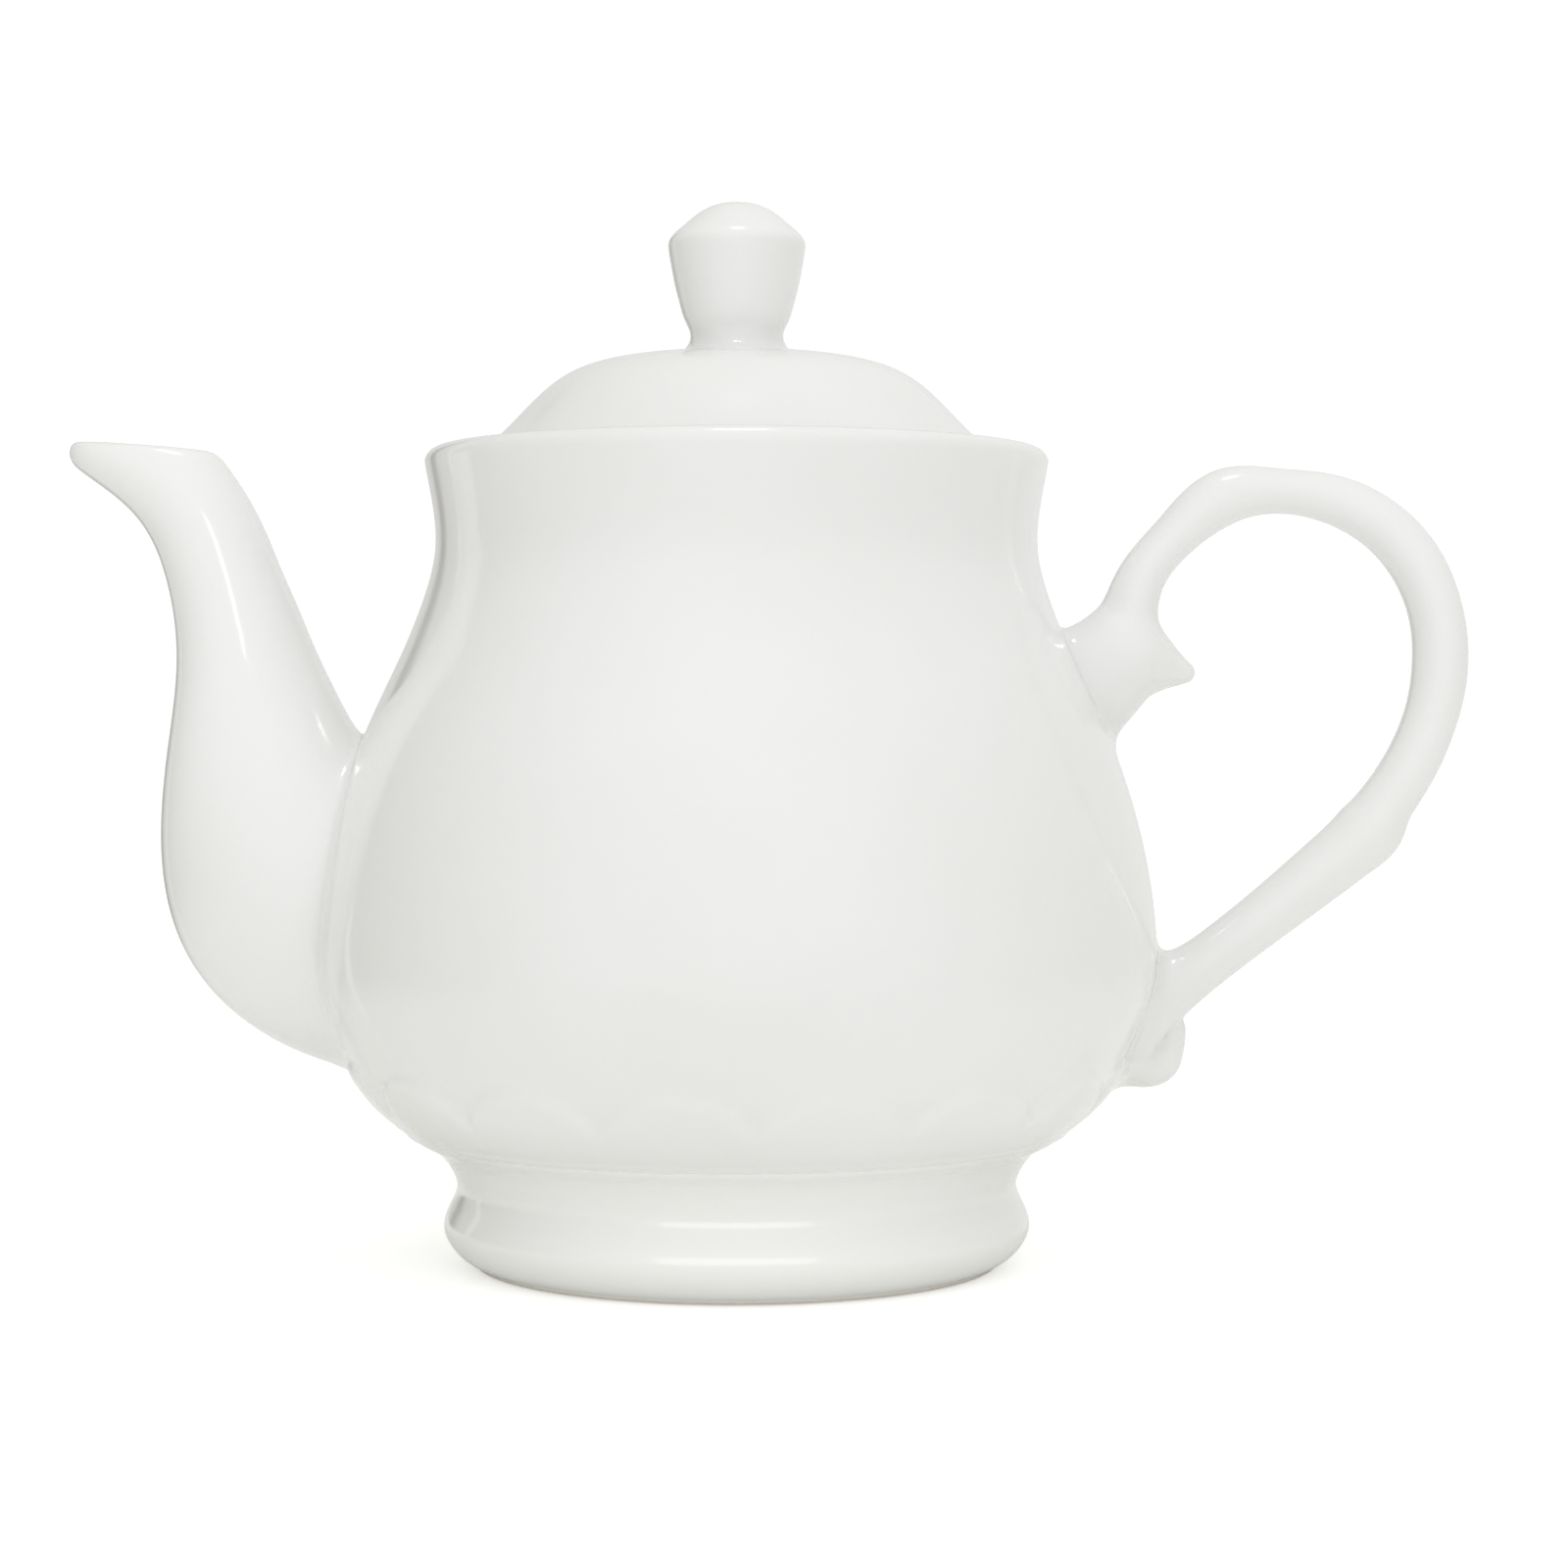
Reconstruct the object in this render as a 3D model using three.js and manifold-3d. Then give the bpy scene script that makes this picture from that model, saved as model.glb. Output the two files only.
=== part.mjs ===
// A porcelain teapot for about one litre: a bellied pot on a turned foot ring, a swan-neck spout, a scrolled
// handle and a domed lid with a turned knob. The lid lifts straight up out of its seat in the mouth.
//
// Millimetres, +Z up. The spout points along -X and the handle along +X. The origin is on the surface that the
// teapot stands on, at the middle of its footprint, and the pot's own axis stands at x = POT_AXIS_X.

import * as THREE from "three";
import { mergeVertices } from "three/addons/utils/BufferGeometryUtils.js";
import Module from "manifold-3d";

const wasm = await Module();
wasm.setup();

// Driving dimensions.
const POT_AXIS_X = -5.4;
const WALL = 3.8; // the cast wall of the pot
const SPOUT_WALL = 3.0;
const JOINT_GAP = 0.3; // between two pieces that are stuck together with slip
const TURNS = 48; // sides of every turned piece
const OVAL_SIDES = 16; // sides of the spout's and the handle's sections

const RIM_TOP = 132; // height of the pot's rolled rim
const RIM_ROLL = 2.1; // half the rim's thickness
const MOUTH_RADIUS = 39.6; // inside the lid's seat
const SEAT_RADIUS = 46.3; // the wall round the lid's seat
const SEAT_HEIGHT = 127.2;
const SEAT_THICKNESS = 3.2;

const LID_RADIUS = 44.6;
const LID_THICKNESS = 3.4;
const FLANGE_RADIUS = 38.6;
const FLANGE_THICKNESS = 3.0;
const FLANGE_DEPTH = 11.5; // below the seat
const VENT_RADIUS = 1.25;
const VENT_FROM_AXIS = 25;

const FOOT_RADIUS = 42.4; // outer edge of the face that the foot stands on
const FOOT_FACE = 3.6; // width of that face
const FOOT_BORE = 40.4; // inside the ring
const SEAM_RADIUS = 52.6; // where the pot's wall meets the foot ring, at the pot's flat underside
const SEAM_HEIGHT = 21.0;
const FLOOR_THICKNESS = 4.4;

const HOLE_RADIUS = 2.3; // the strainer's holes
const HOLE_PITCH = 8.5;
const STRAINER_HEIGHT = 54;
const STRAINER_ROWS = [2, 3, 2, 3, 2];

// Tools for shapes.

const point2 = ([x, y]) => new THREE.Vector2(x, y);
const mm = (x, y, z) => new THREE.Vector3(x, y, z);

/** A closed geometry as a manifold-3d solid. */
function solidOf(geometry) {
  const bare = geometry.clone();
  bare.deleteAttribute("normal");
  bare.deleteAttribute("uv");
  const merged = mergeVertices(bare, 1e-4);
  return new wasm.Manifold(
    new wasm.Mesh({
      numProp: 3,
      vertProperties: new Float32Array(merged.attributes.position.array),
      triVerts: new Uint32Array(merged.index.array),
    }),
  );
}

/** A manifold-3d solid as a geometry. */
function geometryOf(solid) {
  const mesh = solid.getMesh();
  const geometry = new THREE.BufferGeometry();
  geometry.setAttribute("position", new THREE.BufferAttribute(mesh.vertProperties, 3));
  geometry.setIndex(new THREE.BufferAttribute(mesh.triVerts, 1));
  geometry.computeVertexNormals();
  return geometry;
}

/** Turns a profile of [radius, height] points about +Z. The profile runs up the outside and down the inside. */
function turned(profile, sides = TURNS) {
  return new THREE.LatheGeometry(profile.map(point2), sides).rotateX(Math.PI / 2);
}

/** Points along a smooth curve through [radius, height] points. */
function smooth(points, steps) {
  const curve = new THREE.SplineCurve(points.map(point2));
  return curve.getPoints(steps).map((p) => [p.x, p.y]);
}

/** Points of an arc about [r, z], from one angle to another in degrees, 0 pointing outwards and 90 up. */
function arc([r, z], radius, from, to, steps) {
  return Array.from({ length: steps + 1 }, (_, i) => {
    const a = THREE.MathUtils.degToRad(from + ((to - from) * i) / steps);
    return [r + radius * Math.cos(a), z + radius * Math.sin(a)];
  });
}

/** The profile moved sideways by distance: a positive distance moves an upward profile outwards. */
function offset(profile, distance) {
  return profile.map(([r, z], i) => {
    const before = profile[Math.max(i - 1, 0)];
    const after = profile[Math.min(i + 1, profile.length - 1)];
    const along = new THREE.Vector2(after[0] - before[0], after[1] - before[1]).normalize();
    return [r + along.y * distance, z - along.x * distance];
  });
}

/** A closed skin over rings of equally many points, with a fan over each end. */
function loft(rings) {
  const count = rings[0].length;
  const middle = (ring) => ring.reduce((sum, p) => sum.add(p), mm(0, 0, 0)).divideScalar(count);
  const points = [...rings.flat(), middle(rings[0]), middle(rings.at(-1))];
  const first = rings.length * count;
  const faces = [];
  for (let side = 0; side < count; side++) {
    const next = (side + 1) % count;
    faces.push(first, next, side);
    for (let ring = 0; ring + 1 < rings.length; ring++) {
      const low = ring * count;
      const high = low + count;
      faces.push(low + side, low + next, high + next);
      faces.push(low + side, high + next, high + side);
    }
    const last = first - count;
    faces.push(first + 1, last + side, last + next);
  }
  const geometry = new THREE.BufferGeometry().setFromPoints(points);
  geometry.setIndex(faces);
  return geometry;
}

/** Smooth values between the rows of a table, each row a list of numbers, as steps + 1 rows. */
function between(rows, steps) {
  const columns = rows[0].map((_, c) =>
    new THREE.SplineCurve(rows.map((row, i) => new THREE.Vector2(i, row[c]))).getPoints(steps),
  );
  return columns[0].map((_, i) => columns.map((column) => column[i].y));
}

/** An oval ring in the plane that stands on the line from front to back, both [x, z], half as wide as width. */
function ovalRing(front, back, width, shrink = 0) {
  const from = mm(front[0], 0, front[1]);
  const to = mm(back[0], 0, back[1]);
  const centre = from.clone().add(to).divideScalar(2);
  const reach = from.clone().sub(centre);
  reach.setLength(reach.length() - shrink);
  const half = width / 2 - shrink;
  return Array.from({ length: OVAL_SIDES }, (_, i) => {
    const a = (2 * Math.PI * i) / OVAL_SIDES;
    return centre.clone().addScaledVector(reach, Math.cos(a)).add(mm(0, -half * Math.sin(a), 0));
  });
}

// The pot.

const BELLY = smooth(
  [
    [SEAM_RADIUS, SEAM_HEIGHT],
    [57.0, 24.2],
    [63.2, 32.0],
    [67.2, 43.5],
    [68.2, 52.0],
    [66.0, 68.5],
    [60.2, 86.5],
    [54.2, 99.5],
    [49.8, 111.0],
    [48.9, 118.5],
    [50.6, RIM_TOP - RIM_ROLL],
  ],
  22,
);

/** Everything inside the pot's outer surface, grown by grow, from its underside to the top of its neck. */
function potEnvelope(grow) {
  const side = offset(BELLY, grow);
  return solidOf(turned([[0, side[0][1]], ...side, [0, side.at(-1)[1]]]));
}

function potWall() {
  const inner = offset(BELLY, -WALL).filter((_, i) => i % 2 === 1);
  const floor = SEAM_HEIGHT + FLOOR_THICKNESS;
  const insideOfBelly = inner.filter(([, z]) => z > floor + 2 && z < SEAT_HEIGHT - 8);
  const rim = arc([50.6 - RIM_ROLL, RIM_TOP - RIM_ROLL], RIM_ROLL, 20, 180, 5);
  const seat = [
    [SEAT_RADIUS, SEAT_HEIGHT],
    [MOUTH_RADIUS, SEAT_HEIGHT],
    [MOUTH_RADIUS, SEAT_HEIGHT - SEAT_THICKNESS],
  ];
  const inside = [...insideOfBelly.reverse(), [46, floor + 0.8], [38, floor], [0, floor]];
  return solidOf(turned([[0, SEAM_HEIGHT], ...BELLY, ...rim, ...seat, ...inside]));
}

/** The strainer: rods that pierce the pot's wall behind the spout, in staggered rows. */
function strainerRods() {
  const rods = [];
  STRAINER_ROWS.forEach((count, row) => {
    const z = STRAINER_HEIGHT + (row - (STRAINER_ROWS.length - 1) / 2) * HOLE_PITCH * 0.87;
    for (let i = 0; i < count; i++) {
      const y = (i - (count - 1) / 2) * HOLE_PITCH;
      const rod = new THREE.CylinderGeometry(HOLE_RADIUS, HOLE_RADIUS, 40, 10);
      rods.push(solidOf(rod.rotateZ(Math.PI / 2).translate(-60, y, z)));
    }
  });
  return rods;
}

function potBody() {
  return strainerRods().reduce((wall, rod) => wall.subtract(rod), potWall());
}

// The foot ring.

function footRing() {
  const top = SEAM_HEIGHT - JOINT_GAP;
  const outside = smooth(
    [[FOOT_RADIUS, 0], [45.6, 2.1], [47.7, 6.8], [45.6, 12.4], [46.3, 15.4], [48.8, 18.6], [SEAM_RADIUS, top]],
    12,
  );
  const inside = [
    [FOOT_BORE, top],
    [FOOT_BORE, 9],
    [FOOT_RADIUS - FOOT_FACE, 1.5],
    [FOOT_RADIUS - FOOT_FACE, 0],
    [FOOT_RADIUS, 0],
  ];
  return solidOf(turned([...outside, ...inside]));
}

// The spout. Each section runs from a front point [x, z] to a back point [x, z], with its full width.

const SPOUT_SECTIONS = [
  [-52.0, 29.5, -50.0, 86.5, 41],
  [-62.5, 31.2, -57.6, 84.2, 40],
  [-75.0, 35.8, -61.6, 86.5, 38],
  [-85.6, 44.2, -64.2, 90.6, 34.5],
  [-91.8, 55.0, -66.6, 95.4, 30.5],
  [-93.9, 68.5, -69.2, 101.0, 26],
  [-92.8, 83.5, -71.8, 107.4, 22],
  [-91.3, 98.0, -74.5, 113.6, 19],
  [-93.2, 111.5, -77.6, 120.8, 17.2],
  [-98.6, 122.4, -81.4, 127.2, 15.8],
  [-106.4, 128.4, -84.4, 131.4, 14.0],
  [-108.5, 131.4, -85.6, 133.2, 12.8],
  [-107.4, 134.0, -86.4, 135.2, 11.6],
];
const SPOUT_STEPS = 16;
const LIP = { front: [-107.6, 133.5], back: [-85.0, 132.0] }; // the mouth is cut along this line

function spoutSkin(shrink) {
  return between(SPOUT_SECTIONS, SPOUT_STEPS).map(([fx, fz, bx, bz, width]) =>
    ovalRing([fx, fz], [bx, bz], width, shrink),
  );
}

/** Everything above the line along which the spout's mouth is cut. */
function aboveLip() {
  const slope = Math.atan2(LIP.back[1] - LIP.front[1], LIP.back[0] - LIP.front[0]);
  const block = new THREE.BoxGeometry(60, 40, 20).translate(0, 0, 10);
  block.rotateY(-slope);
  const middle = [(LIP.front[0] + LIP.back[0]) / 2, (LIP.front[1] + LIP.back[1]) / 2];
  return solidOf(block.translate(middle[0], 0, middle[1]));
}

function spout() {
  const outer = spoutSkin(0);
  const inner = spoutSkin(SPOUT_WALL);
  const past = inner.at(-1).map((p) => p.clone().add(mm(-1, 0, 4)));
  const bore = solidOf(loft([...inner, past]));
  return solidOf(loft(outer)).subtract(bore).subtract(aboveLip()).subtract(potEnvelope(JOINT_GAP));
}

// The handle: an oval bar along a curve, given as rows of centre x, centre z, thickness in the teapot's plane.

const HANDLE_BAR = [
  [55.0, 92.3, 19.0],
  [59.6, 96.4, 17.4],
  [63.0, 103.4, 10.8],
  [66.3, 111.3, 8.6],
  [71.6, 118.5, 7.8],
  [79.2, 124.7, 8.8],
  [87.7, 125.7, 7.5],
  [96.8, 124.4, 8.0],
  [105.0, 120.4, 8.3],
  [110.9, 114.0, 8.7],
  [114.1, 105.8, 8.9],
  [114.7, 97.0, 9.0],
  [113.2, 88.5, 8.7],
  [109.6, 80.2, 8.9],
  [103.6, 71.2, 10.6],
  [96.6, 64.6, 9.8],
  [87.8, 57.6, 9.2],
  [78.3, 50.3, 9.0],
  [71.2, 44.2, 9.8],
  [66.8, 37.4, 10.8],
];
const HANDLE_STEPS = 32;
const HANDLE_FLATNESS = 1.18; // width across the teapot's plane over thickness in it
const SPUR = [
  [62.0, 95.5, 15.0],
  [67.5, 96.8, 9.6],
  [72.2, 96.3, 4.6],
  [74.2, 96.0, 2.2],
];
const SCROLL = [
  { at: [67.1, 34.5], radius: 5.9 }, // the curl that the handle ends in
  { at: [71.7, 37.0], radius: 1.8 }, // its tip
];

/** An oval bar whose sections stand square to the curve through the rows' centres. */
function bar(rows, steps) {
  const stations = between(rows, steps);
  const rings = stations.map(([x, z, thickness], i) => {
    const before = stations[Math.max(i - 1, 0)];
    const after = stations[Math.min(i + 1, stations.length - 1)];
    const along = new THREE.Vector2(after[0] - before[0], after[1] - before[1]).normalize();
    const half = thickness / 2;
    const left = [x - along.y * half, z + along.x * half];
    const right = [x + along.y * half, z - along.x * half];
    return ovalRing(left, right, thickness * HANDLE_FLATNESS);
  });
  return solidOf(loft(rings));
}

function handle() {
  let joined = bar(HANDLE_BAR, HANDLE_STEPS).add(bar(SPUR, 6));
  for (const { at, radius } of SCROLL) {
    const ball = new THREE.SphereGeometry(radius, 14, 8);
    joined = joined.add(solidOf(ball.translate(at[0], 0, at[1])));
  }
  return joined.subtract(potEnvelope(JOINT_GAP));
}

// The lid: a dome with a flange that hangs inside the pot's mouth, pierced by a steam vent.

const DOME_EDGE = [LID_RADIUS, SEAT_HEIGHT + JOINT_GAP + 1.6];
const DOME = smooth([DOME_EDGE, [37.4, 135.1], [31.2, 141.5], [24.4, 145.7], [12, 148.1], [0, 148.5]], 11);
DOME.at(-1)[0] = 0;

function lid() {
  const edgeFoot = SEAT_HEIGHT + JOINT_GAP;
  const hollow = offset(DOME, -LID_THICKNESS)
    .filter(([r]) => r < FLANGE_RADIUS - FLANGE_THICKNESS - 0.5)
    .reverse();
  hollow[0] = [0, DOME.at(-1)[1] - LID_THICKNESS];
  const profile = [
    ...hollow,
    [FLANGE_RADIUS - FLANGE_THICKNESS, hollow.at(-1)[1] - 2],
    [FLANGE_RADIUS - FLANGE_THICKNESS, SEAT_HEIGHT - FLANGE_DEPTH + 0.8],
    [FLANGE_RADIUS - 1.5, SEAT_HEIGHT - FLANGE_DEPTH],
    [FLANGE_RADIUS, SEAT_HEIGHT - FLANGE_DEPTH + 1.2],
    [FLANGE_RADIUS, edgeFoot],
    [LID_RADIUS - 0.8, edgeFoot],
    ...DOME,
  ];
  const vent = new THREE.CylinderGeometry(VENT_RADIUS, VENT_RADIUS, 20, 12).rotateX(Math.PI / 2);
  vent.translate(0, VENT_FROM_AXIS, DOME.at(-1)[1] - 4);
  return solidOf(turned(profile)).subtract(solidOf(vent));
}

// The knob's outline as [radius, height above the lid's crown].
const KNOB_SIDE = [
  [9.4, 0],
  [7.5, 2.3],
  [8.6, 5.1],
  [9.9, 9.6],
  [10.8, 14.0],
  [11.2, 16.6],
];
const KNOB_CROWN = [KNOB_SIDE.at(-1), [10.6, 18.5], [8.6, 20.6], [5.4, 23.0], [0, 24.0]];

function lidKnob() {
  const base = DOME.at(-1)[1] + JOINT_GAP;
  const raise = ([r, height]) => [r, base + height];
  const side = smooth(KNOB_SIDE.map(raise), 8);
  const crown = smooth(KNOB_CROWN.map(raise), 6);
  crown.at(-1)[0] = 0;
  return solidOf(turned([[0, base], ...side, ...crown.slice(1)], 28));
}

// The assembly.

const GLAZE = { color: 0xecece9, roughness: 0.08, metalness: 0 };
const pot = new THREE.Group();
pot.position.x = POT_AXIS_X;

function place(name, solid, look = GLAZE) {
  const mesh = new THREE.Mesh(geometryOf(solid), new THREE.MeshStandardMaterial(look));
  mesh.name = name;
  pot.add(mesh);
}

place("pot_body", potBody());
place("foot_ring", footRing());
place("spout", spout());
place("handle", handle());
place("lid", lid());
place("lid_knob", lidKnob());

const teapot = new THREE.Group();
teapot.add(pot);

export default teapot;
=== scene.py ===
"""A glazed white porcelain teapot on a pale studio floor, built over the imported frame.

Every piece is made in millimetres about the pot's own axis (x = 0, y = 0, the surface it stands on at z = 0)
and then moved into the row frame. Turned pieces are smooth profiles spun round the axis. The spout and the
handle are skins over distance fields, so that they flow into the pot's wall with a soft fillet, as luted
porcelain does.
"""

import math

import bmesh
import bpy
import numpy as np
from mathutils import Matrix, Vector


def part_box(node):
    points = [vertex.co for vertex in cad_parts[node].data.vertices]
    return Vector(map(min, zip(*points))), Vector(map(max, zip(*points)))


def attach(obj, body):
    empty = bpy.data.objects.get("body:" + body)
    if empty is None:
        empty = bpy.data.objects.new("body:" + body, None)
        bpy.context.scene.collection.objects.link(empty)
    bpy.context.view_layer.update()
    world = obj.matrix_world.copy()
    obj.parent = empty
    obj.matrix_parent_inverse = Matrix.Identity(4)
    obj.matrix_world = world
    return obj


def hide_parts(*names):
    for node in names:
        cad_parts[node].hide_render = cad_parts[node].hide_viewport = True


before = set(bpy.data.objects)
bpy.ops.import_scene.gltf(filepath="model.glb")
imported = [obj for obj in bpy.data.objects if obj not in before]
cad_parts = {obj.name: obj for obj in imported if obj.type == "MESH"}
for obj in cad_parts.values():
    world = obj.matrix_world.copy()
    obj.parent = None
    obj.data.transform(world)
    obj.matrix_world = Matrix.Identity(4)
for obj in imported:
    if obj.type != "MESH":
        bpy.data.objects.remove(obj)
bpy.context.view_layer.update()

pot_low, pot_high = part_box("pot_body")
AXIS_X = (pot_low.x + pot_high.x) / 2
MM = 0.001
SEGMENTS = 384  # round a turned piece; the knob has half as many


# Curves and profiles.

def spline(points, spacing):
    """Points along a natural cubic curve through points, evenly spaced along it."""
    p = np.array(points, float)
    t = np.concatenate([[0], np.cumsum(np.linalg.norm(np.diff(p, axis=0), axis=1) ** 0.5)])
    n = len(p)
    h = np.diff(t)
    a = np.zeros((n, n))
    b = np.zeros_like(p)
    a[0, 0] = a[-1, -1] = 1
    for i in range(1, n - 1):
        a[i, i - 1], a[i, i], a[i, i + 1] = h[i - 1], 2 * (h[i - 1] + h[i]), h[i]
        b[i] = 6 * ((p[i + 1] - p[i]) / h[i] - (p[i] - p[i - 1]) / h[i - 1])
    m = np.linalg.solve(a, b)
    s = np.linspace(0, t[-1], 1600)
    i = np.clip(np.searchsorted(t, s, side="right") - 1, 0, n - 2)
    u, v = (t[i + 1] - s)[:, None], (s - t[i])[:, None]
    hi = h[i][:, None]
    q = (m[i] * u ** 3 + m[i + 1] * v ** 3) / (6 * hi)
    q += (p[i] / hi - m[i] * hi / 6) * u + (p[i + 1] / hi - m[i + 1] * hi / 6) * v
    length = np.concatenate([[0], np.cumsum(np.linalg.norm(np.diff(q[:, :2], axis=0), axis=1))])
    count = max(2, int(round(length[-1] / spacing)) + 1)
    at = np.linspace(0, length[-1], count)
    return np.stack([np.interp(at, length, q[:, k]) for k in range(q.shape[1])], axis=1)


def rounded(corners, steps=6):
    """A polyline of [r, z, radius] corners with each corner turned on an arc of its radius."""
    out = []
    pts = [np.array(c[:2], float) for c in corners]
    for i, c in enumerate(corners):
        radius = c[2] if len(c) > 2 else 0
        if radius == 0 or i in (0, len(corners) - 1):
            out.append(pts[i])
            continue
        a, b = pts[i - 1] - pts[i], pts[i + 1] - pts[i]
        la, lb = np.linalg.norm(a), np.linalg.norm(b)
        a, b = a / la, b / lb
        half = math.acos(max(-1, min(1, float(a @ b)))) / 2
        reach = min(radius / math.tan(half), la * 0.49, lb * 0.49)
        radius = reach * math.tan(half)
        centre = pts[i] + (a + b) / np.linalg.norm(a + b) * radius / math.sin(half)
        start, end = pts[i] + a * reach - centre, pts[i] + b * reach - centre
        turn = math.pi - 2 * half
        for k in range(steps + 1):
            f = k / steps
            w = (math.sin((1 - f) * turn) * start + math.sin(f * turn) * end) / math.sin(turn)
            out.append(centre + w)
    return np.array(out)


def offset_inward(curve, distance):
    """The curve moved towards the axis, square to itself; a negative distance moves it outward."""
    along = np.gradient(curve, axis=0)
    along /= np.linalg.norm(along, axis=1)[:, None]
    return curve - np.stack([along[:, 1], -along[:, 0]], axis=1) * distance


def even(curve, spacing):
    """The polyline again, as points evenly spaced along it."""
    c = np.array(curve, float)
    length = np.concatenate([[0], np.cumsum(np.linalg.norm(np.diff(c, axis=0), axis=1))])
    count = max(2, int(round(length[-1] / spacing)) + 1)
    at = np.linspace(0, length[-1], count)
    return np.stack([np.interp(at, length, c[:, k]) for k in range(2)], axis=1)


# Meshes.

def make_piece(name, shape, body, nodes, materials):
    """A piece of the teapot from (vertices in millimetres, faces) or (vertices, faces, vertex normals)."""
    verts, faces = np.array(shape[0], float) * MM, shape[1]
    verts[:, 0] += AXIS_X
    mesh = bpy.data.meshes.new(name)
    mesh.from_pydata(verts.tolist(), [], [list(f) for f in faces])
    for m in materials:
        mesh.materials.append(m)
    mesh.shade_smooth()
    if len(shape) > 2:
        mesh.normals_split_custom_set_from_vertices(shape[2].tolist())
    piece = bpy.data.objects.new(name, mesh)
    bpy.context.collection.objects.link(piece)
    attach(piece, body)
    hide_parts(*nodes)
    return piece


def turned(profile, segments, relief=None):
    """A profile of [r, z] spun round the axis. It starts and ends on the axis, or closes on itself."""
    p = np.array(profile, float)
    on_axis = p[0, 0] < 1e-6 and p[-1, 0] < 1e-6
    inner = p[1:-1] if on_axis else p
    angle = np.arange(segments) * 2 * math.pi / segments
    r = np.repeat(inner[:, :1], segments, axis=1)
    z = np.repeat(inner[:, 1:], segments, axis=1)
    if relief is not None:
        r, z = relief(r, z, np.broadcast_to(angle, r.shape))
    verts = np.stack([r * np.cos(angle), r * np.sin(angle), z], axis=-1).reshape(-1, 3)
    rows = len(inner)
    faces = []
    last = rows - 1 if on_axis else rows
    for i in range(last):
        low, high = i * segments, ((i + 1) % rows) * segments
        for s in range(segments):
            t = (s + 1) % segments
            faces.append((low + s, low + t, high + t, high + s))
    if on_axis:
        verts = np.vstack([verts, [[0, 0, p[0, 1]], [0, 0, p[-1, 1]]]])
        n = rows * segments
        for s in range(segments):
            t = (s + 1) % segments
            faces.append((n, t, s))
            faces.append((n + 1, n - segments + s, n - segments + t))
    return verts, faces


def skin(field, low, high, step):
    """A closed mesh over field = 0.

    It has a vertex in each cell that the surface passes through, and each is then moved onto the surface. The
    field is read on a coarse grid first, and on a finer one only within reach cells of the surface.
    """
    axes = [a + step * np.arange(int((b - a) / step / 4) * 4 + 5) for a, b in zip(low, high)]
    grid = np.stack(np.meshgrid(*axes, indexing="ij"), axis=-1)
    shape = grid.shape[:3]
    value = np.full(shape, 1e3)
    value[::4, ::4, ::4] = field(grid[::4, ::4, ::4].reshape(-1, 3)).reshape(value[::4, ::4, ::4].shape)
    for coarse, reach in ((4, 6.5), (2, 3.6)):
        for axis in range(3):
            value = np.take(value, np.arange(shape[axis]) // coarse * coarse, axis=axis)
        fine = value[::coarse // 2, ::coarse // 2, ::coarse // 2]
        near = np.abs(fine) < reach * step
        fine[near] = field(grid[::coarse // 2, ::coarse // 2, ::coarse // 2][near])
    inside = value < 0
    total = np.zeros([n - 1 for n in shape] + [3])
    count = np.zeros([n - 1 for n in shape])
    for axis in range(3):
        a = [slice(None)] * 3
        b = [slice(None)] * 3
        a[axis], b[axis] = slice(0, -1), slice(1, None)
        va, vb = value[tuple(a)], value[tuple(b)]
        cross = inside[tuple(a)] != inside[tuple(b)]
        f = np.where(cross, va / np.where(cross, va - vb, 1), 0)
        point = grid[tuple(a)].copy()
        point[..., axis] += f * step
        others = [k for k in range(3) if k != axis]
        for i in (0, 1):
            for j in (0, 1):
                at = [slice(None)] * 3
                at[others[0]] = slice(i, shape[others[0]] - 1 + i)
                at[others[1]] = slice(j, shape[others[1]] - 1 + j)
                c = cross[tuple(at)]
                total += point[tuple(at)] * c[..., None]
                count += c
    used = count > 0
    index = np.full(count.shape, -1)
    index[used] = np.arange(used.sum())
    verts = total[used] / count[used][:, None]
    faces = []
    for axis in range(3):
        a = [slice(None)] * 3
        b = [slice(None)] * 3
        a[axis], b[axis] = slice(0, -1), slice(1, None)
        cross = inside[tuple(a)] != inside[tuple(b)]
        out = inside[tuple(a)]
        u, v = [(1, 2), (2, 0), (0, 1)][axis]
        where = np.argwhere(cross)
        where = where[(where[:, u] > 0) & (where[:, v] > 0)]
        where = where[(where[:, u] < count.shape[u]) & (where[:, v] < count.shape[v])]
        du, dv = np.eye(3, dtype=int)[u], np.eye(3, dtype=int)[v]
        corners = [where - du - dv, where - dv, where, where - du]
        quad = np.stack([index[tuple(c.T)] for c in corners], axis=1)
        flip = ~out[tuple(where.T)]
        quad[flip] = quad[flip][:, ::-1]
        faces.append(quad)
    faces = np.vstack(faces)
    edges = np.vstack([faces[:, [0, 1]], faces[:, [1, 2]], faces[:, [2, 3]], faces[:, [3, 0]]])
    for _ in range(3):
        near = np.zeros_like(verts)
        seen = np.zeros(len(verts))
        np.add.at(near, edges[:, 0], verts[edges[:, 1]])
        np.add.at(seen, edges[:, 0], 1)
        verts = verts + 0.6 * (near / seen[:, None] - verts)
        verts = settle(field, verts, 1)
    verts, faces = largest_part(settle(field, verts, 3), faces)
    return verts, faces.tolist(), slope_of(field, verts)


def largest_part(verts, faces):
    """The biggest connected part of a mesh of quads, without the vertices that only the others use."""
    parent = list(range(len(verts)))

    def root(a):
        while parent[a] != a:
            parent[a] = parent[parent[a]]
            a = parent[a]
        return a

    for a, b, c, d in faces.tolist():
        r = root(a)
        for other in (b, c, d):
            parent[root(other)] = r
    label = np.array([root(a) for a in range(len(verts))])
    biggest = np.bincount(label[faces[:, 0]]).argmax()
    keep = label == biggest
    renumber = np.cumsum(keep) - 1
    return verts[keep], renumber[faces[keep[faces[:, 0]]]]


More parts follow.
